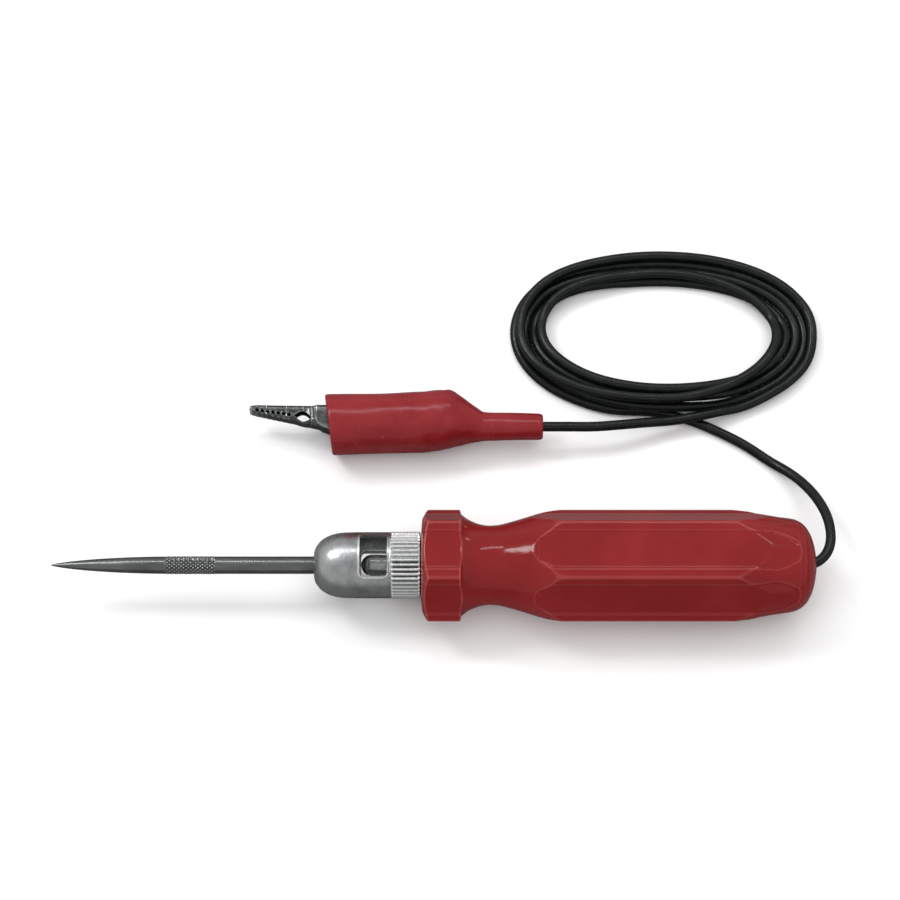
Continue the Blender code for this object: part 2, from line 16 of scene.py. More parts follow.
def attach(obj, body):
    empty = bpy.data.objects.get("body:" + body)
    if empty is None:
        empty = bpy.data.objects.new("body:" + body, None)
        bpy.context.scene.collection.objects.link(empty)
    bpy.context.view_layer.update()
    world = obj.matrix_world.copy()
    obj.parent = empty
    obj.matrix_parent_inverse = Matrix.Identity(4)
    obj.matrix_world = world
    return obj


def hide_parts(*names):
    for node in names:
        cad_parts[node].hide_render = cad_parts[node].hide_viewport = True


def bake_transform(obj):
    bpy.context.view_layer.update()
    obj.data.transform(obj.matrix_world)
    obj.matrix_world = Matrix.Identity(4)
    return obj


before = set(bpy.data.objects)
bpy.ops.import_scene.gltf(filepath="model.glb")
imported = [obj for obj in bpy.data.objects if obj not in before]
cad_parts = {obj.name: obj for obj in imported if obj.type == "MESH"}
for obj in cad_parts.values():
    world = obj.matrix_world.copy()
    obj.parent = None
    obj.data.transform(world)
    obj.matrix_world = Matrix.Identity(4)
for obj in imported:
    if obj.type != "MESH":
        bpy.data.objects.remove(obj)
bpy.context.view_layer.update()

MM = 0.001
AXIS_Z = 14.05

# ---------------------------------------------------------------- camera
CAMERA_AT = (4.77, -227.63, 717.01)
CAMERA_ELEVATION = 69.6
CAMERA_LENS = 107.38
SENSOR_WIDTH = 36.0
FLOOR_HALF_SIZE = 3.0           # metres
WORLD_STRENGTH = 0.55
LIT_POINT = (0.0, 0.03, 0.0)    # metres, what every softbox faces

# ---------------------------------------------------------------- lead
LEAD_RADIUS = 1.4
LEAD_SPACING = 1.1              # between two rings of the lead's mesh
HANDLE_LEAD_ROUTE = [
    (101.0, 0.0, 14.05), (103.6, 0.0, 14.05), (106.3, 0.9, 13.9), (108.4, 3.0, 13.6),
    (109.8, 6.0, 12.9), (110.2, 10.2, 11.5), (109.5, 15.6, 9.0), (107.3, 21.5, 6.2),
    (104.2, 26.7, 3.8), (100.2, 31.2, 2.2), (95.1, 35.2, 1.5), (88.7, 39.9, 1.5),
    (82.0, 43.6, 1.5), (76.0, 46.4, 1.5), (70.5, 48.4, 1.5), (62.5, 50.2, 1.5),
]
TAIL_AXIS = (42.9, 8.5)
CLIP_LEAD_ROUTE = [
    (76.0, 47.7, 4.75), (73.0, 47.1, 4.65), (68.0, 46.2, 4.65), (61.6, 45.3, 5.2), (52.9, 43.8, 7.0),
    (45.5, 42.9, 8.45), (38.0, 42.9, 8.5), (31.6, 42.9, 8.5), (20.0, 42.9, 8.5), (7.0, 42.9, 8.5),
]
COIL_CENTRE = (65.6, 73.7)
COIL_HALF_LENGTH = 37.85
COIL_HALF_WIDTH = 20.4
COIL_START = -112               # degrees, where the handle's lead has joined the bundle
COIL_STEP = 15                  # degrees between two points of the lead's route round the coil
# How far out from the bundle's middle line each turn lies, at the near side, the left, the far side and
# the right. The turns are laid in this order, later ones on top.
TURNS = [
    (4.0, 4.1, 2.2, 3.8),
    (2.7, 1.3, -0.5, 1.2),
    (0.2, -1.5, -3.3, -1.6),
    (-1.6, -3.4, -1.9, -4.6),
    (1.5, 2.6, 3.9, 6.1),
]
# Degrees and distance outward of the last stretch, which runs off the bundle towards the clip.
LEAVING = [(-12, 6.1), (-27, 5.9), (-42, 5.6), (-57, 5.7)]
BULGE = 1.6                     # mm, how far the hand-wound oval swells at BULGE_AT
BULGE_AT = 145                  # degrees
BULGE_SPREAD = 25
DROOP_LENGTH = 60.0             # mm, how slowly a hump in the lead falls back to the floor
SETTLE_PASSES = 8


# ---------------------------------------------------------------- mesh helpers
def finish_mesh(name, work, smooth_below=35):
    """Turn a bmesh in millimetres into a named object in metres, faces pointing out."""
    bmesh.ops.recalc_face_normals(work, faces=work.faces)
    mesh = bpy.data.meshes.new(name)
    work.to_mesh(mesh)
    work.free()
    mesh.transform(Matrix.Scale(MM, 4))
    mesh.shade_smooth()
    mesh.set_sharp_from_angle(angle=math.radians(smooth_below))
    made = bpy.data.objects.new(name, mesh)
    bpy.context.scene.collection.objects.link(made)
    return made


def join_rings(work, rings, loop):
    """Quads between rings of vertices; a ring of one vertex is a pole. loop joins the last to the first."""
    pairs = list(zip(rings, rings[1:]))
    if loop:
        pairs.append((rings[-1], rings[0]))
    for first, second in pairs:
        count = max(len(first), len(second))
        for step in range(count):
            after = (step + 1) % count
            corners = [first[step % len(first)], first[after % len(first)],
                       second[after % len(second)], second[step % len(second)]]
            work.faces.new(list(dict.fromkeys(corners)))


def skin(name, rings, loop=False, caps=False, smooth_below=35):
    """A mesh through rings of points, each ring closed."""
    work = bmesh.new()
    made = [[work.verts.new(point) for point in ring] for ring in rings]
    join_rings(work, made, loop)
    if caps:
        work.faces.new(made[0])
        work.faces.new(made[-1])
    return finish_mesh(name, work, smooth_below)


def round_ring(along, radius, segments, centre):
    if radius == 0:
        return [(along, *centre)]
    return [(along, centre[0] + radius * math.sin(2 * math.pi * step / segments),
             centre[1] + radius * math.cos(2 * math.pi * step / segments)) for step in range(segments)]


def turned(name, outline, segments=64, centre=(0.0, AXIS_Z), smooth_below=35):
    """Revolve (x, radius) points about a line along X. An outline that starts off the line is a tube."""
    rings = [round_ring(along, radius, segments, centre) for along, radius in outline]
    return skin(name, rings, loop=outline[0][1] != 0, smooth_below=smooth_below)


def smooth_curve(points, spacing):
    """Points at an even spacing on a Catmull-Rom curve through the route's points."""
    knots = [Vector(point) for point in points]
    knots = [2 * knots[0] - knots[1], *knots, 2 * knots[-1] - knots[-2]]
    fine = []
    for before, start, end, after in zip(knots, knots[1:], knots[2:], knots[3:]):
        for step in range(16):
            t = step / 16
            fine.append(0.5 * (2 * start + (end - before) * t
                               + (2 * before - 5 * start + 4 * end - after) * t * t
                               + (3 * start - before - 3 * end + after) * t ** 3))
    fine.append(knots[-2])
    return even(fine, spacing)


def even(line, spacing):
    """The same line with its points at an even spacing."""
    points = np.array([tuple(point) for point in line])
    along = np.concatenate([[0.0], np.cumsum(np.linalg.norm(np.diff(points, axis=0), axis=1))])
    count = max(2, round(along[-1] / spacing))
    wanted = np.linspace(0.0, along[-1], count + 1)
    columns = [np.interp(wanted, along, points[:, axis]) for axis in range(points.shape[1])]
    return np.stack(columns, axis=1)


def rod(name, points, radius, sides=14, smooth_below=60):
    """A round rod along points, its rings carried along without twist. radius may vary by point."""
    line = [Vector(point) for point in points]
    radii = radius if hasattr(radius, "__len__") else [radius] * len(line)
    ways = [(b - a).normalized() for a, b in zip(line, line[1:])]
    tangents = [ways[0], *[(a + b).normalized() for a, b in zip(ways, ways[1:])], ways[-1]]
    side = tangents[0].orthogonal().normalized()
    rings = []
    for point, tangent, size in zip(line, tangents, radii):
        side = (side - tangent * side.dot(tangent)).normalized()
        other = tangent.cross(side)
        rings.append([point + size * (math.cos(2 * math.pi * step / sides) * side
                                      + math.sin(2 * math.pi * step / sides) * other)
                      for step in range(sides)])
    return skin(name, rings, caps=True, smooth_below=smooth_below)


def wear(piece, finish, body, slot, *nodes):
    """Give a piece its material and body, and hide the CAD nodes that it stands for; slot is not used."""
    piece.data.materials.append(finish)
    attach(piece, body)
    if nodes:
        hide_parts(*nodes)


# ---------------------------------------------------------------- the lead's line
def coil_point(angle, outward):
    """A point on the coil's oval, moved outward from its middle line."""
    turn = math.radians(angle)
    normal = Vector((COIL_HALF_WIDTH * math.cos(turn), COIL_HALF_LENGTH * math.sin(turn))).normalized()
    outward += BULGE * math.exp(-((angle % 360 - BULGE_AT) / BULGE_SPREAD) ** 2)
    return (COIL_CENTRE[0] + COIL_HALF_LENGTH * math.cos(turn) + outward * normal.x,
            COIL_CENTRE[1] + COIL_HALF_WIDTH * math.sin(turn) + outward * normal.y)


def coil_lane(angle):
    """How far out the lead lies at this angle, counted down from the near side through all the turns."""
    stations = [lane for turn in TURNS for lane in turn]
    stations.append(stations[-1])
    place = min((-90 - angle) / 90, len(stations) - 1.001)
    place = max(place, 0.0)
    before = int(place)
    t = place - before
    ease = t * t * (3 - 2 * t)
    return stations[before] * (1 - ease) + stations[before + 1] * ease


def lead_plan():
    """The lead seen from above, with the least height that each point may have."""
    plan = list(HANDLE_LEAD_ROUTE)
    angle = COIL_START
    last = -90 - 360 * len(TURNS) + 90
    while angle > last:
        plan.append((*coil_point(angle, coil_lane(angle)), LEAD_RADIUS))
        angle -= COIL_STEP
    plan.extend((*coil_point(angle, outward), LEAD_RADIUS) for angle, outward in LEAVING)
    plan.extend(CLIP_LEAD_ROUTE)
    line = smooth_curve(plan, LEAD_SPACING)
    return np.stack([blur(line[:, axis], 4) for axis in range(3)], axis=1)


def settle(plan):
    """Lift each stretch of the lead over whatever was laid before it, in long low humps."""
    thick = 2 * LEAD_RADIUS
    count = len(plan)
    index = np.arange(count)
    apart = np.linalg.norm(plan[:, None, :2] - plan[None, :, :2], axis=2)
    earlier = index[:, None] - index[None, :] > 4 * thick / LEAD_SPACING
    touching = earlier & (apart < thick)
    lift = np.where(touching, np.sqrt(np.maximum(thick ** 2 - apart ** 2, 0.0)), 0.0)
    droop = ((index[:, None] - index[None, :]) * LEAD_SPACING) ** 2 / DROOP_LENGTH
    floor = plan[:, 2]
    height = floor.copy()
    for _ in range(SETTLE_PASSES):
        raised = np.where(touching, height[None, :] + lift, 0.0).max(axis=1)
        wanted = np.maximum(floor, raised)
        height = (wanted[None, :] - droop).max(axis=1)
        height = np.maximum(blur(height, 3), floor)
    return np.column_stack([plan[:, :2], height])


def blur(values, reach):
    """Average with the neighbours on both sides, ends held."""
    padded = np.concatenate([[values[0]] * reach, values, [values[-1]] * reach])
    weights = np.hanning(2 * reach + 3)[1:-1]
    return np.convolve(padded, weights / weights.sum(), "valid")


# ---------------------------------------------------------------- shader helpers
NOISE_ROUGHNESS = 0.55


class Finish:
    """A Principled material that is built up one effect at a time."""

    def __init__(self, name, colour, roughness, **constants):
        self.material = bpy.data.materials.new(name)
        self.material.use_nodes = True
        self.nodes = self.material.node_tree.nodes
        self.links = self.material.node_tree.links
        self.shader = self.nodes["Principled BSDF"]
        self.shader.inputs["Base Color"].default_value = (*colour, 1.0)
        self.shader.inputs["Roughness"].default_value = roughness
        for socket, value in constants.items():
            self.shader.inputs[socket.replace("_", " ")].default_value = value
        self.place = self.nodes.new("ShaderNodeTexCoord").outputs["Object"]
        self.height = None

    def noise(self, scale, detail, stretch=(1, 1, 1)):
        """Noise in object space: scale is features per metre."""
        mapping = self.nodes.new("ShaderNodeMapping")
        mapping.inputs["Scale"].default_value = stretch
        self.links.new(self.place, mapping.inputs["Vector"])
        texture = self.nodes.new("ShaderNodeTexNoise")
        texture.inputs["Scale"].default_value = scale
        texture.inputs["Detail"].default_value = detail
        texture.inputs["Roughness"].default_value = NOISE_ROUGHNESS
        self.links.new(mapping.outputs["Vector"], texture.inputs["Vector"])
        return texture.outputs["Fac"]

    def ramp(self, source, low, high, start=0.0, end=1.0):
        """Map a 0..1 value onto start..end between two thresholds."""
        node = self.nodes.new("ShaderNodeMapRange")
        node.inputs["From Min"].default_value = low
        node.inputs["From Max"].default_value = high
        node.inputs["To Min"].default_value = start
        node.inputs["To Max"].default_value = end
        self.links.new(source, node.inputs["Value"])
        return node.outputs["Result"]

    def mix_colour(self, share, colour):
        """Mix a colour over what the base colour is so far."""
        node = self.nodes.new("ShaderNodeMix")
        node.data_type = "RGBA"
        base = self.shader.inputs["Base Color"]
        if base.is_linked:
            self.links.new(base.links[0].from_socket, node.inputs["A"])
        else:
            node.inputs["A"].default_value = base.default_value
        node.inputs["B"].default_value = (*colour, 1.0)
        self.links.new(share, node.inputs["Factor"])
        self.links.new(node.outputs["Result"], base)

    def vary_roughness(self, source, low, high):
        """Let the roughness wander between two values over the middle of the noise's range."""
        self.links.new(self.ramp(source, 0.3, 0.7, low, high), self.shader.inputs["Roughness"])

    def bump(self, source, depth):
        """Stack one more bump; depth is in metres."""
        node = self.nodes.new("ShaderNodeBump")
        node.inputs["Distance"].default_value = depth
        self.links.new(source, node.inputs["Height"])
        if self.height is not None:
            self.links.new(self.height, node.inputs["Normal"])
        self.height = node.outputs["Normal"]
        self.links.new(self.height, self.shader.inputs["Normal"])

    def edges(self, low, high):
        """A mask that rises with convexity, 0.5 being flat; with low above high it marks hollows."""
        point = self.nodes.new("ShaderNodeNewGeometry").outputs["Pointiness"]
        return self.ramp(point, low, high)


# ---------------------------------------------------------------- materials
def red_acetate():
    made = Finish("red_acetate", (0.19, 0.0085, 0.0095), 0.1, IOR=1.36, Subsurface_Weight=0.1,
                  Subsurface_Radius=(0.004, 0.0006, 0.0005), Subsurface_Scale=0.5)
    cloud = made.noise(60, 2.0)
    made.mix_colour(made.ramp(cloud, 0.35, 0.7), (0.23, 0.013, 0.014))
    # Painted highlight: a paler red along the handle's convex edges, standing in for light caught by the
    # edges.
    made.mix_colour(made.edges(0.505, 0.56), (0.42, 0.085, 0.08))
    made.vary_roughness(made.noise(900, 3.0), 0.07, 0.16)
    made.bump(made.noise(120, 2.0), 0.00008)
    made.bump(made.noise(2600, 2.0), 0.000003)
    return made.material


def nose_metal():
    made = Finish("nose_metal", (0.46, 0.475, 0.48), 0.3, Metallic=1.0)
    made.mix_colour(made.ramp(made.noise(260, 5.0), 0.42, 0.72), (0.3, 0.31, 0.32))
    made.mix_colour(made.ramp(made.noise(1300, 4.0), 0.6, 0.75), (0.2, 0.205, 0.21))
    # Painted highlight: near white on the rib crests, the window rims and other convex edges.
    made.mix_colour(made.edges(0.5, 0.54), (0.85, 0.86, 0.86))
    # Painted shade: near black in the rib grooves and other hollows.
    made.mix_colour(made.edges(0.497, 0.455), (0.04, 0.042, 0.044))
    made.vary_roughness(made.noise(420, 3.0, stretch=(6, 1, 1)), 0.24, 0.42)
    made.bump(made.noise(300, 3.0), 0.00005)
    made.bump(made.noise(1600, 3.0, stretch=(5, 1, 1)), 0.000012)
    return made.material


def probe_metal():
    made = Finish("probe_metal", (0.21, 0.22, 0.22), 0.26, Metallic=1.0)
    made.mix_colour(made.ramp(made.noise(220, 4.0, stretch=(0.3, 1, 1)), 0.4, 0.7), (0.12, 0.127, 0.126))
    # Painted highlight: pale grey on the knurl's diamonds and other convex edges.
    made.mix_colour(made.edges(0.51, 0.57), (0.42, 0.43, 0.43))
    # Painted shade: near black in the knurl's grooves and other hollows.
    made.mix_colour(made.edges(0.495, 0.44), (0.015, 0.016, 0.016))
    made.vary_roughness(made.noise(700, 3.0, stretch=(0.3, 1, 1)), 0.18, 0.36)
    made.bump(made.noise(2400, 3.0, stretch=(8, 1, 1)), 0.00001)
    return made.material


def plated_metal():
    made = Finish("plated_metal", (0.11, 0.118, 0.116), 0.2, Metallic=1.0)
    made.mix_colour(made.ramp(made.noise(500, 4.0), 0.4, 0.7), (0.06, 0.065, 0.064))
    # Painted highlight: near white along the jaws' bends and other convex edges, standing in for the
    # reflected sky.
    made.mix_colour(made.edges(0.52, 0.56), (0.85, 0.86, 0.86))
    made.vary_roughness(made.noise(900, 4.0), 0.12, 0.3)
    made.bump(made.noise(400, 3.0), 0.00004)
    return made.material


def spring_metal():
    made = Finish("spring_metal", (0.5, 0.5, 0.51), 0.26, Metallic=1.0)
    made.mix_colour(made.ramp(made.noise(800, 3.0), 0.45, 0.7), (0.33, 0.33, 0.34))
    made.vary_roughness(made.noise(1500, 3.0), 0.2, 0.36)
    return made.material


def brass():
    made = Finish("brass", (0.72, 0.53, 0.24), 0.24, Metallic=1.0)
    made.mix_colour(made.ramp(made.noise(300, 4.0), 0.45, 0.75), (0.5, 0.34, 0.15))
    made.vary_roughness(made.noise(900, 3.0), 0.18, 0.36)
    made.bump(made.noise(2500, 2.0, stretch=(6, 1, 1)), 0.00001)
    return made.material


def solder():
    made = Finish("solder", (0.58, 0.58, 0.58), 0.35, Metallic=1.0)
    made.mix_colour(made.ramp(made.noise(1500, 4.0), 0.4, 0.7), (0.4, 0.4, 0.41))
    made.bump(made.noise(1200, 3.0), 0.00004)
    return made.material


def copper():
    made = Finish("copper", (0.78, 0.42, 0.26), 0.3, Metallic=1.0)
    made.mix_colour(made.ramp(made.noise(900, 3.0), 0.4, 0.7), (0.5, 0.24, 0.14))
    made.bump(made.noise(3000, 2.0, stretch=(0.1, 1, 1)), 0.00005)
    return made.material


def filament_metal():
    made = Finish("filament_metal", (0.34, 0.34, 0.36), 0.35, Metallic=1.0)
    made.mix_colour(made.ramp(made.noise(3000, 2.0), 0.4, 0.7), (0.2, 0.2, 0.22))
    return made.material


def lamp_glass():
    made = Finish("lamp_glass", (0.86, 0.88, 0.88), 0.02, Transmission_Weight=1.0, IOR=1.5)
    made.vary_roughness(made.noise(700, 2.0), 0.0, 0.04)
    made.bump(made.noise(350, 2.0), 0.00004)
    return made.material


def black_insulator():
    made = Finish("black_insulator", (0.02, 0.02, 0.022), 0.4)
    made.mix_colour(made.ramp(made.noise(1200, 3.0), 0.4, 0.7), (0.045, 0.045, 0.05))
    made.bump(made.noise(2000, 3.0), 0.00003)
    return made.material


def grey_fibre():
    made = Finish("grey_fibre", (0.3, 0.28, 0.25), 0.75)
    made.mix_colour(made.ramp(made.noise(1800, 4.0, stretch=(0.2, 1, 1)), 0.35, 0.7), (0.2, 0.19, 0.17))
    made.bump(made.noise(2500, 3.0, stretch=(0.2, 1, 1)), 0.00004)
    return made.material


def lead_vinyl():
    made = Finish("lead_vinyl", (0.0035, 0.0055, 0.005), 0.36, IOR=1.38)
    made.mix_colour(made.ramp(made.noise(300, 4.0), 0.45, 0.75), (0.008, 0.011, 0.0105))
    made.mix_colour(made.ramp(made.noise(2600, 3.0), 0.62, 0.8), (0.02, 0.024, 0.023))
    made.vary_roughness(made.noise(500, 4.0), 0.2, 0.36)
    made.bump(made.noise(700, 2.0), 0.00004)
    made.bump(made.noise(5200, 2.0), 0.00001)
    return made.material


def boot_vinyl():
    made = Finish("boot_vinyl", (0.2, 0.009, 0.0125), 0.26, IOR=1.4)
    made.mix_colour(made.ramp(made.noise(150, 3.0), 0.35, 0.7), (0.24, 0.015, 0.019))
    made.vary_roughness(made.noise(600, 4.0), 0.2, 0.28)
    made.bump(made.noise(90, 2.0, stretch=(0.6, 1, 1)), 0.0002)
    made.bump(made.noise(320, 2.0), 0.00004)
    return made.material


def floor_paper():
    made = Finish("floor_paper", (0.92, 0.92, 0.92), 0.75)
    made.mix_colour(made.ramp(made.noise(40, 3.0), 0.4, 0.7), (0.9, 0.9, 0.9))
    # Painted shade in reflections: glossy rays see the floor as dark grey, so shiny surfaces reflect it
    # darker than it is lit.
    made.mix_colour(made.nodes.new("ShaderNodeLightPath").outputs["Is Glossy Ray"], (0.14, 0.14, 0.14))
    return made.material


# ---------------------------------------------------------------- stage
def set_stage():
    scene = bpy.context.scene
    floor = bpy.data.objects.new("floor", bpy.data.meshes.new("floor"))
    size = FLOOR_HALF_SIZE
    floor.data.from_pydata([(-size, -size, 0), (size, -size, 0), (size, size, 0), (-size, size, 0)], [],
                           [(0, 1, 2, 3)])
    floor.data.materials.append(floor_paper())
    scene.collection.objects.link(floor)

    camera = bpy.data.objects.new("camera", bpy.data.cameras.new("camera"))
    camera.data.lens = CAMERA_LENS
    camera.data.sensor_width = SENSOR_WIDTH
    camera.data.clip_start = 0.01
    camera.data.clip_end = 20.0
    camera.location = Vector(CAMERA_AT) * MM
    camera.rotation_euler = (math.radians(90 - CAMERA_ELEVATION), 0.0, 0.0)
    scene.collection.objects.link(camera)
    scene.camera = camera

    area_light("overhead_softbox", (0.0, 0.1, 1.2), 1.8, 1.8, 12.0, mirrored=False)
    area_light("key_softbox", (-0.55, 0.38, 0.8), 0.26, 0.26, 2.8)
    area_light("far_strip", (0.05, 0.56, 0.85), 0.9, 0.07, 1.7)

    world = bpy.data.worlds.new("studio")
    world.use_nodes = True
    background = world.node_tree.nodes["Background"]
    background.inputs["Color"].default_value = (1.0, 1.0, 1.0, 1.0)
    background.inputs["Strength"].default_value = WORLD_STRENGTH
    scene.world = world
    scene.view_settings.view_transform = "Standard"


def area_light(name, at, width, depth, power, mirrored=True):
    """A softbox over the object; one that isn't mirrored lights it without showing in its reflections."""
    light = bpy.data.lights.new(name, "AREA")
    light.shape = "RECTANGLE"
    light.size = width
    light.size_y = depth
    light.energy = power
    made = bpy.data.objects.new(name, light)
    made.location = at
    made.visible_glossy = mirrored
    made.rotation_euler = (Vector(LIT_POINT) - Vector(at)).to_track_quat("-Z", "Y").to_euler()
    bpy.context.scene.collection.objects.link(made)


# ---------------------------------------------------------------- handle
HALF_LENGTH = 105.2
FLAT_RADIUS = 14.05
COLLAR_FRONT = -2.75
COLLAR_FRONT_RADIUS = 13.2
COLLAR_BACK = 7.8
NECK_X = 16.0
NECK_RADIUS = 10.86
FILLET_RADIUS = 12.0
GRIP_FRONT = 36.0
GRIP_BACK = 81.0
BUTT_START = 97.0
HANDLE_SIDES = 360
PANEL_HALF_WIDTH = 5.25
PANEL_DEPTH = 0.28
CORNER_RADIUS = 16.08           # from the axis to the narrow strip along each corner of the hexagon


def turned_radius(along):
    """Radius of the handle as it was turned, before its six flats."""
    over = FLAT_RADIUS / math.cos(math.pi / 6) + 0.4
    if along < COLLAR_BACK:
        return min(over, COLLAR_FRONT_RADIUS + 2.0 * (along - COLLAR_FRONT))
    if along < NECK_X:
        reach = NECK_X - along
        return NECK_RADIUS + FILLET_RADIUS - math.sqrt(FILLET_RADIUS ** 2 - reach ** 2)
    knots = [(NECK_X, NECK_RADIUS), (18.5, 11.1), (21.0, 11.75), (24.0, 12.6), (28.0, 13.85), (32.0, 15.1),
             (GRIP_FRONT, over), (GRIP_BACK, over), (85.0, 15.5), (89.5, 14.5), (97.7, 13.05), (99.6, 12.6),
             (101.2, 11.8), (102.6, 10.5), (103.8, 8.4), (104.6, 6.0), (105.05, 3.6), (HALF_LENGTH, 2.9)]
    xs = [x for x, radius in knots]
    radii = [radius for x, radius in knots]
    return float(np.interp(along, xs, radii))


def in_panel(along, side):
    """1 inside the shallow panel that each flat carries."""
    share = abs(side) / PANEL_HALF_WIDTH
    if share >= 1:
        return 0.0
    starts = 27.9 + 4.8 * share ** 2.5
    ends = 99.5 - 6.7 * share ** 3
    return 1.0 if along < COLLAR_BACK or starts < along < ends else 0.0


def handle_stations():
    """Where the handle's rings stand: close together at its edges, apart where it runs straight."""
    fine_front = list(np.arange(COLLAR_FRONT, 0.6, 0.2))
    collar = list(np.arange(0.9, 5.4, 0.9))
    fine_back = list(np.arange(5.5, 9.6, 0.2))
    neck = list(np.arange(9.9, 27.0, 0.7))
    panel_front = list(np.arange(27.3, 33.4, 0.25))
    grip = list(np.arange(34.0, 80.0, 0.9))
    panel_back = list(np.arange(80.4, 96.9, 0.4))
    butt_length = HALF_LENGTH - BUTT_START
    butt = [BUTT_START + butt_length * math.sin(math.pi / 2 * step / 32) for step in range(33)]
    return fine_front + collar + fine_back + neck + panel_front + grip + panel_back + butt


def make_handle(finish):
    """A turned grip with six flats, a shallow panel on each, and the bores for the lamp and the lead."""
    stations = handle_stations()
    angles = [2 * math.pi * step / HANDLE_SIDES for step in range(HANDLE_SIDES)]
    radii = np.zeros((len(stations), HANDLE_SIDES))
    for row, along in enumerate(stations):
        round_part = turned_radius(along)
        for column, angle in enumerate(angles):
            off_flat = (angle + math.pi / 6) % (math.pi / 3) - math.pi / 6
            off_corner = angle % (math.pi / 3) - math.pi / 6
            flat = min(FLAT_RADIUS / math.cos(off_flat), CORNER_RADIUS / math.cos(off_corner))
            radius = min(round_part, flat)
            radii[row, column] = radius - PANEL_DEPTH * in_panel(along, radius * math.sin(off_flat))
    radii = (np.roll(radii, 1, 1) + 2 * radii + np.roll(radii, -1, 1)) / 4
    rounded = radii.copy()
    rounded[1:-1] = (radii[:-2] + 2 * radii[1:-1] + radii[2:]) / 4
    rings = []
    for along, row in zip(stations, rounded):
        rings.append([(along, radius * math.sin(angle), AXIS_Z + radius * math.cos(angle))
                      for radius, angle in zip(row, angles)])
    bore = [(104.9, 2.5), (103.0, 1.9), (34.0, 1.9), (34.0, 3.3), (16.6, 3.3), (16.6, 4.0), (14.3, 4.0),
            (14.3, 6.9), (-3.3, 6.9), (-3.3, 7.6), (-3.1, 9.9), (-2.9, 12.4)]
    rings += [round_ring(along, radius, HANDLE_SIDES, (0.0, AXIS_Z)) for along, radius in bore]
    handle = skin("handle_grip", rings, loop=True, smooth_below=50)
    wear(handle, finish, "tester_body", "red_acetate", "handle")


# ---------------------------------------------------------------- lead
def make_lead(finish):
    line = settle(lead_plan())
    lead = rod("lead", line, LEAD_RADIUS)
    wear(lead, finish, "tester_body", "lead_vinyl",
         "lead_to_coil", "lead_coil", "lead_to_clip", "lead_in_boot")
    return lead, line


# ---------------------------------------------------------------- nose and probe
NOSE_BACK = -3.38
RIB_COUNT = 42
RIB_SPAN = (-11.3, -3.75)
RIB_DEPTH = 0.58
WINDOW = (-19.9, -12.4)
WINDOW_HALF_WIDTH = 6.25
WINDOW_TILT = math.radians(-5)
WINDOW_CORNER = 1.1
SNAP_REACH = 0.16               # mm from a window's edge within which the mesh is moved onto it
SHELL_INSIDE = 7.7              # mm, everything farther out belongs to the shell that the windows cut
NOSE_SIDES = RIB_COUNT * 8
ROD_RADIUS = 2.4
POINT_LENGTH = 34.0
KNURL = (-73.6, -59.6)
KNURL_DEPTH = 0.34
KNURL_TEETH = 14                # grooves of one family round the rod
KNURL_PITCH = 1.3               # mm along the rod between two of them
KNURL_TOP = 0.7                 # the share of a diamond's height at which its top is cut flat


def window_gap(along, side):
    """Signed distance in mm from the rounded window's edge, negative inside it."""
    middle = (WINDOW[0] + WINDOW[1]) / 2
    reach_x = abs(along - middle) - (WINDOW[1] - WINDOW[0]) / 2 + WINDOW_CORNER
    reach_y = abs(side) - WINDOW_HALF_WIDTH + WINDOW_CORNER
    outside = math.hypot(max(reach_x, 0.0), max(reach_y, 0.0))
    return outside + min(max(reach_x, reach_y), 0.0) - WINDOW_CORNER


def window_side(angle, radius):
    """Distance round from the nearer window's middle. angle is from straight up, towards +Y."""
    off = (angle + WINDOW_TILT + math.pi / 2) % math.pi - math.pi / 2
    return radius * math.sin(off) if abs(off) < math.pi / 2 else radius


def make_nose(finish):
    """A cast shell with two windows, a plain collar and a ribbed skirt."""
    front = [(-32.55, 2.65), (-32.55, 3.5), (-32.35, 4.35), (-31.95, 5.2), (-31.0, 6.46), (-30.2, 7.15),
             (-29.3, 7.7), (-28.5, 8.08), (-27.7, 8.39), (-26.8, 8.63), (-26.0, 8.8), (-25.2, 8.92),
             (-24.4, 9.0), (-23.0, 9.03), (-21.6, 9.06)]
    window_rows = [(x, 9.1) for x in np.arange(-20.8, -11.6, 0.3)]
    collar = [(-11.65, 9.16), (-11.5, 9.05), (-11.35, 9.05)]
    skirt = [(x, 9.2) for x in np.arange(-11.2, -3.7, 0.2)] + [(-3.5, 9.1), (NOSE_BACK, 8.95)]
    outside = front + window_rows + collar + skirt
    inside = [(NOSE_BACK, 6.9), (-11.3, 6.9), (-11.3, 3.3), (-12.1, 3.3), (-12.1, 7.8)]
    inner_rows = [(x, 7.8) for x, _ in window_rows[::-1] if x < -12.2]
    tail = [(-23.5, 7.8), (-26.0, 6.6), (-27.0, 4.2), (-27.0, 2.65)]
    work = bmesh.new()
    rings = []
    for ribbed, rows in ((True, outside), (False, inside + inner_rows + tail)):
        for along, radius in rows:
            ring = []
            for step in range(NOSE_SIDES):
                angle = 2 * math.pi * step / NOSE_SIDES
                size = radius
                if ribbed and RIB_SPAN[0] < along < RIB_SPAN[1]:
                    wave = 0.5 - 0.5 * math.cos(RIB_COUNT * angle)
                    size -= RIB_DEPTH * wave ** 1.5
                ring.append((along, size, angle))
            rings.append(ring)
    snapped = [[snap_to_window(*spot) for spot in ring] for ring in rings]
    made = [[work.verts.new((x, r * math.sin(a), AXIS_Z + r * math.cos(a))) for x, r, a in ring]
            for ring in snapped]
    cut_shell(work, rings, made)
    nose = finish_mesh("nose_shell", work, smooth_below=40)
    rim = nose.modifiers.new("rim", "BEVEL")
    rim.width = 0.00012
    rim.segments = 2
    rim.limit_method = "ANGLE"
    rim.angle_limit = math.radians(55)
    wear(nose, finish, "nose", "die_casting", "nose_housing")


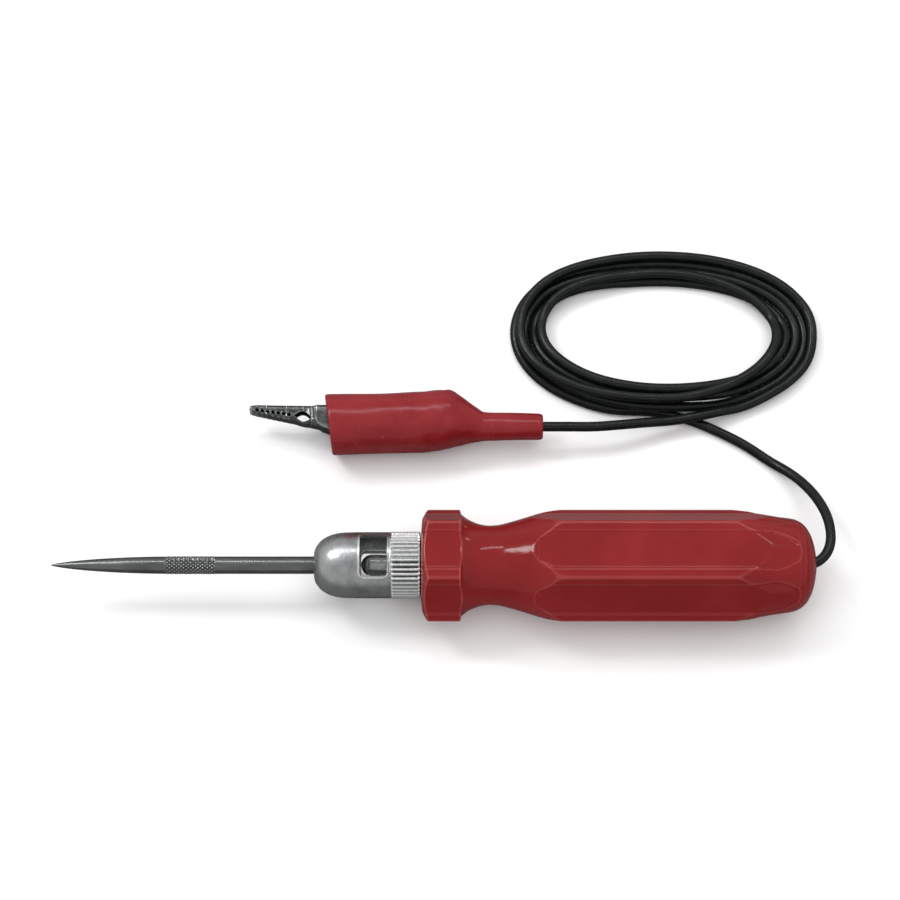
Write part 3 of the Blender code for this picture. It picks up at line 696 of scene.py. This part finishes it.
def snap_to_window(along, radius, angle):
    """Move a point that lies close to the window's edge onto it."""
    side = window_side(angle, radius)
    gap = window_gap(along, side)
    if abs(gap) > SNAP_REACH or not WINDOW[0] - 0.4 < along < WINDOW[1] + 0.4:
        return along, radius, angle
    step = 0.01
    slope_x = (window_gap(along + step, side) - gap) / step
    slope_y = (window_gap(along, side + step) - gap) / step
    return along - gap * slope_x, radius, angle - gap * slope_y / math.sqrt(radius ** 2 - side ** 2)


def is_open(along, radius, angle):
    return window_gap(along, window_side(angle, radius)) < 0


def cut_shell(work, rings, made):
    """Faces of the shell, without those in the windows, and walls between its skins at their edges."""
    count = len(rings)
    for row in range(count):
        after = (row + 1) % count
        for step in range(NOSE_SIDES):
            along = (rings[row][step][0] + rings[after][step][0]) / 2
            radius = (rings[row][step][1] + rings[after][step][1]) / 2
            angle = 2 * math.pi * (step + 0.5) / NOSE_SIDES
            within = WINDOW[0] < along < WINDOW[1] and radius > SHELL_INSIDE
            level = abs(rings[row][step][1] - rings[after][step][1]) < 0.2
            if within and level and is_open(along, radius, angle):
                continue
            work.faces.new([made[row][step], made[row][(step + 1) % NOSE_SIDES],
                            made[after][(step + 1) % NOSE_SIDES], made[after][step]])
    wall_windows(work)


def wall_windows(work):
    """Bridge each window's outer edge to its inner edge."""
    rim = [edge for edge in work.edges if len(edge.link_faces) == 1]
    upper = [edge for edge in rim if edge.verts[0].co.z > AXIS_Z]
    lower = [edge for edge in rim if edge.verts[0].co.z < AXIS_Z]
    bmesh.ops.bridge_loops(work, edges=upper)
    bmesh.ops.bridge_loops(work, edges=lower)


def make_probe(finish):
    """Ogive point, a diamond-knurled band, a plain rod and the head peened over inside the nose."""
    taper = [POINT_LENGTH * (step / 40) ** 1.4 - HALF_LENGTH for step in range(1, 40)]
    stations = [x for x in taper if x < KNURL[0] - 0.3]
    stations += list(np.arange(KNURL[0] - 0.2, KNURL[1] + 0.3, 0.14)) + [-50.0, -40.0, -32.6, -26.7]
    sides = 96
    rings = [[(-HALF_LENGTH, 0.0, AXIS_Z)]]
    for along in stations:
        part = min(1.0, (along + HALF_LENGTH) / POINT_LENGTH)
        radius = ROD_RADIUS * (1 - (1 - part) ** 2) ** 0.7
        ring = []
        for step in range(sides):
            angle = 2 * math.pi * step / sides
            size = radius + knurl_height(along, angle)
            ring.append((along, size * math.sin(angle), AXIS_Z + size * math.cos(angle)))
        rings.append(ring)
    head = [(-26.7, 3.2), (-26.5, 3.4), (-26.2, 3.35), (-25.9, 2.6), (-25.72, 1.4), (-25.7, 0.0)]
    for along, radius in head:
        rings.append(round_ring(along, radius, sides, (0.0, AXIS_Z)))
    probe = skin("probe_rod", rings, smooth_below=45)
    wear(probe, finish, "nose", "probe_steel", "probe")


def knurl_height(along, angle):
    """Diamonds from two crossing families of grooves, fading out at the band's ends."""
    if not KNURL[0] < along < KNURL[1]:
        return 0.0
    fade = min(1.0, (along - KNURL[0]) / 0.5, (KNURL[1] - along) / 0.5)
    around = KNURL_TEETH * angle / (2 * math.pi)
    first = abs(((around + along / KNURL_PITCH) % 1.0) - 0.5) * 2
    second = abs(((around - along / KNURL_PITCH) % 1.0) - 0.5) * 2
    return fade * KNURL_DEPTH * (min(first, second, KNURL_TOP) / KNURL_TOP - 0.7)


# ---------------------------------------------------------------- lamp and contacts
LAMP_TIP = -19.8
SUPPORT_RADIUS = 0.14
FILAMENT_TURNS = 16
FILAMENT_STEPS = 240


def make_bulb(glass):
    """Blown glass with its pip, and the glass bead that holds the supports."""
    tip = LAMP_TIP
    outer = [(tip, 0.0), (tip + 0.05, 0.45), (tip + 0.3, 0.8), (tip + 0.45, 1.3), (tip + 0.95, 2.05),
             (tip + 1.75, 2.65), (tip + 2.9, 2.93), (tip + 4.2, 2.95), (tip + 6.0, 2.9), (tip + 8.0, 2.85),
             (-7.6, 2.85)]
    inner = [(-7.6, 2.5), (tip + 8.0, 2.5), (tip + 6.0, 2.55), (tip + 4.2, 2.6), (tip + 2.95, 2.58),
             (tip + 1.95, 2.3), (tip + 1.25, 1.8), (tip + 0.85, 1.1), (tip + 0.75, 0.5), (tip + 0.72, 0.0)]
    bulb = turned("lamp_bulb", outer + inner, smooth_below=60)
    wear(bulb, glass, "lamp", "lamp_glass", "lamp_glass")
    bead = [(-13.1, 0.0), (-13.0, 0.5), (-12.6, 0.85), (-12.1, 0.9), (-11.7, 0.6), (-11.6, 0.0)]
    wear(turned("lamp_bead", bead, segments=24), glass, "lamp", "lamp_glass")


def make_filament(tungsten):
    """Two bent supports and a bowed coil of fine wire between their tips."""
    route = [(-8.0, 0.9), (-11.0, 0.62), (-12.4, 0.55), (-14.5, 0.9), (-16.6, 1.35), (-16.9, 1.3)]
    for name, side in (("lamp_support_a", -1), ("lamp_support_b", 1)):
        wire = smooth_curve([(along, out * side, AXIS_Z) for along, out in route], 0.3)
        wear(rod(name, wire, SUPPORT_RADIUS, sides=10), tungsten, "lamp", "tungsten")
    coil = []
    for step in range(FILAMENT_STEPS + 1):
        part = step / FILAMENT_STEPS
        across = -1.35 + 2.7 * part
        bow = -16.85 - 0.75 * math.sin(math.pi * part)
        turn = 2 * math.pi * FILAMENT_TURNS * part
        coil.append((bow + 0.16 * math.cos(turn), across, AXIS_Z + 0.16 * math.sin(turn)))
    wear(rod("lamp_filament_coil", coil, 0.045, sides=6), tungsten, "lamp", "tungsten", "lamp_filament")


def make_lamp_base(gold, black, tin):
    """Flanged brass cap, insulating disc and the button that the spring presses on."""
    cap = [(-10.95, 3.15), (-10.95, 4.15), (-10.8, 4.3), (-10.5, 4.3), (-10.35, 4.15), (-10.25, 3.75),
           (-10.05, 3.6), (-6.4, 3.6), (-6.3, 3.5), (-6.1, 3.42), (-5.9, 3.5), (-5.8, 3.6), (-2.4, 3.6),
           (-2.05, 3.5), (-2.0, 3.3), (-2.0, 3.15)]
    wear(turned("lamp_cap", cap, smooth_below=50), gold, "lamp", "brass", "lamp_base")
    disc = [(-1.7, 0.0), (-1.7, 3.3), (-1.5, 3.5), (-1.1, 3.4), (-0.75, 2.4), (-0.7, 0.0)]
    wear(turned("lamp_disc", disc), black, "lamp", "black_insulator", "lamp_insulator")
    button = [(-0.4, 0.0), (-0.4, 1.4), (0.1, 1.3), (0.45, 0.95), (0.65, 0.5), (0.7, 0.0)]
    wear(turned("lamp_button", button, segments=32), tin, "lamp", "solder", "lamp_contact")


THREAD_PITCH = 1.27
THREAD_DEPTH = 0.62
THREAD_FRONT = -10.0
THREAD_BACK = -3.0
SOCKET_BACK = 14.0


def make_socket(finish):
    """Brass tube in the handle with a right-hand outside thread for the nose."""
    sides = 72
    stations = list(np.arange(THREAD_FRONT, THREAD_BACK, THREAD_PITCH / 10)) + [-2.6, 0.0, SOCKET_BACK]
    rings = []
    for along in stations:
        ring = []
        fade = min(1.0, (along - THREAD_FRONT) / 0.8, max(0.0, (THREAD_BACK - along) / 0.6))
        for step in range(sides):
            angle = 2 * math.pi * step / sides
            phase = (along / THREAD_PITCH + angle / (2 * math.pi)) % 1.0
            groove = max(0.0, 1 - abs(phase - 0.5) * 2 - 0.12)
            radius = 6.6 - THREAD_DEPTH * groove * fade
            if along < THREAD_FRONT + 0.05:
                radius = 6.1
            ring.append((along, radius * math.sin(angle), AXIS_Z + radius * math.cos(angle)))
        rings.append(ring)
    for along, radius in ((SOCKET_BACK, 3.95), (-9.9, 3.95), (THREAD_FRONT, 4.05)):
        rings.append(round_ring(along, radius, sides, (0.0, AXIS_Z)))
    socket = skin("socket_thread", rings, loop=True, smooth_below=50)
    wear(socket, finish, "tester_body", "brass", "threaded_socket")


def make_contact_spring(finish):
    """Coil spring with closed ends; it stretches between the lamp's button and the lead's terminal."""
    front = 1.3
    back = 13.3
    radius = 2.2
    turns = 10
    steps = turns * 20
    line = []
    for step in range(steps + 1):
        part = step / steps
        eased = part - 0.06 * math.sin(2 * math.pi * part)
        angle = 2 * math.pi * turns * part
        line.append((front + (back - front) * eased, radius * math.cos(angle),
                     AXIS_Z + radius * math.sin(angle)))
    spring = rod("contact_coil", line, 0.3, sides=8)
    spring.data.materials.append(finish)
    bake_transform(spring)
    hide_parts("contact_spring")


# ---------------------------------------------------------------- clip
PIVOT = (-26.9, 43.85, 8.7)
CLOSING_SLOPE = -0.147
JAW_LENGTH = 25.0
SHEET = 0.6
TEETH = 7
TOOTH_PITCH = 1.5
LOWER_WIDTH = 3.6
UPPER_WIDTH_BEHIND = 5.4
JAW_SPRING_TURNS = 2.5
JAW_SPRING_RADIUS = 1.85


def closing_edge(side, back):
    """The toothed line where the jaws meet, tip to back. side is +1 on the upper jaw, -1 on the lower."""
    def meet(along):
        return (along, CLOSING_SLOPE * along + side * 0.08)

    points = [meet(-JAW_LENGTH), meet(-JAW_LENGTH + 0.8)]
    for tooth in range(TEETH):
        start = -JAW_LENGTH + 1.6 + TOOTH_PITCH * tooth
        points.append(meet(start))
        points.append((start + 0.2, meet(start + 0.2)[1] + side * 0.38))
        points.append((start + 0.75, meet(start + 0.75)[1] + side * 0.45))
        points.append((start + 1.3, meet(start + 1.3)[1] + side * 0.06))
    points.append(meet(-12.4))
    for step in range(1, 16):
        along = -12.2 + 4.8 * step / 16
        points.append((along, meet(along)[1] + side * 1.5 * math.sin(math.pi * step / 16)))
    points.append(meet(-7.4))
    points.append(meet(back))
    return points


def pressed_jaw(name, spine, edge, width, bend):
    """A folded channel of sheet metal: a flange, a rounded bend, the spine, a bend and a flange.

    spine and edge are (x, y) lines from the pivot, width gives the fold's width at x.
    """
    spine_x, spine_y = zip(*spine)
    edge_x, edge_y = zip(*edge)
    stations = sorted(set(edge_x) | {float(x) for x in np.arange(spine_x[0], spine_x[-1], 0.8)})
    rings = []
    for along in stations:
        if not spine_x[0] <= along <= spine_x[-1]:
            continue
        top = float(np.interp(along, spine_x, spine_y))
        low = float(np.interp(along, edge_x, edge_y))
        way = 1 if top > low else -1
        height = abs(top - low)
        thick = min(SHEET, 0.6 * height)
        half = width(along) / 2
        outer = channel_section(low, way, height, half, min(bend, 0.6 * height))
        inner = channel_section(low, way, height - thick, half - SHEET, min(bend - SHEET, 0.3 * height))
        rings.append([(PIVOT[0] + along, PIVOT[1] + y, PIVOT[2] + z) for y, z in outer + inner[::-1]])
    jaw = skin(name, rings, caps=True, smooth_below=40)
    soft = jaw.modifiers.new("burr", "BEVEL")
    soft.width = 0.00008
    soft.segments = 2
    soft.limit_method = "ANGLE"
    soft.angle_limit = math.radians(50)
    return jaw


def channel_section(low, way, height, half, radius):
    """(y, z) points from one flange's edge, round the spine, to the other flange's edge."""
    first = [(low + way * (height - radius) * share, -half) for share in (0.0, 0.5, 1.0)]
    for step in range(1, 7):
        turn = math.pi / 2 * step / 6
        first.append((low + way * (height - radius + radius * math.sin(turn)),
                      -half + radius * (1 - math.cos(turn))))
    return first + [(y, -z) for y, z in first[::-1]]


def upper_width(along):
    """Narrow in front, wide enough behind to straddle the other jaw."""
    share = min(1.0, max(0.0, (along + 7.0) / 0.8))
    return LOWER_WIDTH + (UPPER_WIDTH_BEHIND - LOWER_WIDTH) * share * share * (3 - 2 * share)


def make_upper_jaw(steel):
    tip = -JAW_LENGTH
    spine = [(tip, 4.55), (tip + 0.8, 4.95), (tip + 2.0, 5.1), (-6.5, 4.85), (0.0, 4.85), (24.0, 6.2),
             (26.0, 6.5)]
    edge = closing_edge(1, -7.2) + [
        (-6.6, 1.15), (-6.2, 0.2), (-5.7, -0.9), (-4.6, -1.7), (-3.2, -2.3), (-1.6, -2.8), (0.0, -2.9),
        (1.4, -2.6), (2.6, -1.9), (3.8, -0.4), (5.0, 1.2), (7.0, 1.9), (26.0, 4.6),
    ]
    upper = pressed_jaw("upper_jaw", spine, edge, upper_width, 1.0)
    wear(upper, steel, "clip_jaw", "plated_steel", "clip_upper_jaw")


def make_lower_jaw(steel):
    tip = -JAW_LENGTH
    spine = [(tip, 3.3), (tip + 0.8, 2.85), (-3.4, -2.15), (0.0, -3.2), (5.0, -4.3), (23.0, -4.3),
             (27.0, -3.4), (30.0, -2.9)]
    edge = closing_edge(-1, -6.5) + [
        (-2.6, 2.3), (0.0, 2.8), (2.6, 2.0), (7.0, -2.2), (12.0, -3.2), (23.0, -3.2), (27.0, -2.4),
        (30.0, -2.15),
    ]
    lower = pressed_jaw("lower_jaw", spine, edge, lambda along: LOWER_WIDTH, 0.9)
    wear(lower, steel, "tester_body", "plated_steel", "clip_lower_jaw")


def make_crimp_barrel(steel):
    outline = [(0.6, 0.95), (0.6, 1.8), (0.8, 1.95), (1.8, 1.95), (2.3, 1.7), (3.6, 1.62), (4.9, 1.7),
               (5.4, 1.95), (6.4, 1.95), (6.6, 1.8), (6.6, 0.95)]
    barrel = turned("crimp_barrel", outline, segments=40, centre=TAIL_AXIS)
    wear(barrel, steel, "tester_body", "plated_steel")


def make_rivet(steel):
    """A shank through both jaws with a domed head on each side."""
    half = UPPER_WIDTH_BEHIND / 2 + 0.15
    head = [(half, 1.15), (half, 2.0), (half + 0.15, 2.0), (half + 0.4, 1.75), (half + 0.6, 1.25),
            (half + 0.68, 0.7), (half + 0.7, 0.0)]
    outline = [(-height, radius) for height, radius in head[::-1]] + head
    rings = [upright_ring(height, radius, 40) for height, radius in outline]
    rivet = skin("jaw_rivet", rings, smooth_below=45)
    wear(rivet, steel, "tester_body", "plated_steel", "clip_pivot_pin")


def make_jaw_spring(finish):
    """Torsion spring round the rivet, one leg against the back part of each jaw."""
    path = [(11.0, -3.0, -0.9)]
    steps = 60
    for step in range(steps + 1):
        angle = -math.pi / 2 - 0.2 - 2 * math.pi * JAW_SPRING_TURNS * step / steps
        path.append((JAW_SPRING_RADIUS * math.cos(angle), JAW_SPRING_RADIUS * math.sin(angle),
                     -0.75 + 1.5 * step / steps))
    path.append((13.0, 4.5, 0.75))
    line = even([tuple(PIVOT[axis] + point[axis] for axis in range(3)) for point in path], 0.35)
    spring = rod("jaw_spring", line, 0.3, sides=10)
    spring.data.materials.append(finish)
    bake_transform(spring)
    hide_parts("clip_spring")


def upright_ring(height, radius, segments):
    """A level ring round the pivot, at a height from its middle."""
    if radius == 0:
        return [(PIVOT[0], PIVOT[1], PIVOT[2] + height)]
    return [(PIVOT[0] + radius * math.cos(2 * math.pi * step / segments),
             PIVOT[1] + radius * math.sin(2 * math.pi * step / segments), PIVOT[2] + height)
            for step in range(segments)]


# ---------------------------------------------------------------- boot
# Place along X, centre in Y and Z, radius.
BOOT_OUTSIDE = [
    (-29.5, 43.4, 8.7, 8.25), (-29.3, 43.4, 8.7, 8.55), (-28.8, 43.42, 8.7, 8.65), (-20.0, 43.65, 8.7, 8.62),
    (-10.0, 43.95, 8.7, 8.62), (-2.6, 44.2, 8.7, 8.65), (1.5, 44.7, 8.7, 8.6), (4.6, 45.05, 8.7, 8.35),
    (6.2, 45.0, 8.7, 7.8), (8.4, 44.5, 8.65, 6.75), (10.6, 43.9, 8.6, 5.65), (12.9, 43.25, 8.55, 4.65),
    (14.0, 42.95, 8.5, 4.15), (15.5, 42.9, 8.5, 4.02), (22.0, 42.9, 8.5, 3.9), (30.0, 42.9, 8.5, 3.74),
    (30.6, 42.9, 8.5, 3.6), (30.95, 42.9, 8.5, 3.3), (31.0, 42.9, 8.5, 2.9),
]
BOOT_INSIDE = [
    (-29.5, 43.4, 8.7, 7.75), (-28.8, 43.4, 8.7, 7.5), (-2.6, 44.2, 8.7, 7.45), (2.5, 44.6, 8.7, 7.3),
    (5.6, 44.9, 8.7, 6.9), (8.5, 43.8, 8.6, 4.4), (10.5, 42.9, 8.5, 1.7), (30.8, 42.9, 8.5, 1.55),
    (31.0, 42.9, 8.5, 1.75),
]
BOOT_SIDES = 120


def boot_wave(along, angle):
    """Soft dents and creases of the vinyl, mostly where it necks down behind the clip."""
    shoulder = math.exp(-((along - 4.0) / 6.5) ** 2)
    body = math.exp(-((along + 14.0) / 13.0) ** 2)
    tail = 1.0 / (1.0 + math.exp(-(along - 17.0)))
    wave = 0.13 * body * math.sin(2 * angle + 0.14 * along) + 0.06 * body * math.sin(5 * angle - 0.2 * along)
    wave += 0.1 * shoulder * math.sin(7 * angle + 0.35 * along) * math.sin(0.8 * along + 1.0)
    wave -= 0.14 * math.exp(-((along - 3.4) / 1.1) ** 2) * (0.5 + 0.5 * math.cos(3 * angle + 0.6))
    return wave + 0.05 * tail * math.sin(3 * angle + 0.3 * along)


def make_boot(finish):
    """A thin soft tube, creased outside and plain inside, its mouth cut a little aslant."""
    rings = []
    for rows, spacing, crease in ((BOOT_OUTSIDE, 0.4, 1.0), (BOOT_INSIDE[::-1], 0.8, 0.0)):
        for along, middle_y, middle_z, radius in even_rows(rows, spacing):
            ring = []
            for step in range(BOOT_SIDES):
                angle = 2 * math.pi * step / BOOT_SIDES
                size = radius + crease * boot_wave(along, angle)
                slant = 1.1 * math.cos(angle) * min(1.0, max(0.0, (-20.0 - along) / 9.0))
                ring.append((along - slant, middle_y + size * math.cos(angle),
                             middle_z + size * math.sin(angle)))
            rings.append(ring)
    boot = skin("boot", rings, loop=True, smooth_below=60)
    wear(boot, finish, "boot", "boot_vinyl", "clip_boot")


def even_rows(rows, spacing):
    """Rows at an even spacing along the outline, its corners eased."""
    knots = np.array(rows, float)
    reach = np.concatenate([[0.0], np.cumsum(np.hypot(np.diff(knots[:, 0]), np.diff(knots[:, 3])))])
    count = max(4, round(reach[-1] / spacing))
    wanted = np.linspace(0, reach[-1], count + 1)
    columns = [np.interp(wanted, reach, knots[:, column]) for column in range(4)]
    smooth = [columns[0]] + [blur(column, 1) for column in columns[1:]]
    made = np.stack(smooth, axis=1)
    made[0], made[-1] = knots[0], knots[-1]
    return made


# ---------------------------------------------------------------- build
set_stage()
BRASS = brass()
SPRING = spring_metal()
VINYL = lead_vinyl()
COPPER = copper()
GLASS = lamp_glass()
STEEL = plated_metal()
make_handle(red_acetate())
make_nose(nose_metal())
make_probe(probe_metal())
make_bulb(GLASS)
make_filament(filament_metal())
make_lamp_base(BRASS, black_insulator(), solder())
make_socket(BRASS)
make_contact_spring(SPRING)
make_upper_jaw(STEEL)
make_lower_jaw(STEEL)
make_crimp_barrel(STEEL)
make_rivet(STEEL)
make_jaw_spring(SPRING)
make_boot(boot_vinyl())
lead, lead_line = make_lead(VINYL)
for node, finish in {
    "insulating_sleeve": grey_fibre(), "spring_terminal": BRASS, "lead_conductor": COPPER, "lead_stop": BRASS,
    "lead_in_handle": VINYL, "clip_conductor": COPPER,
}.items():
    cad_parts[node].data.materials.clear()
    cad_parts[node].data.materials.append(finish)
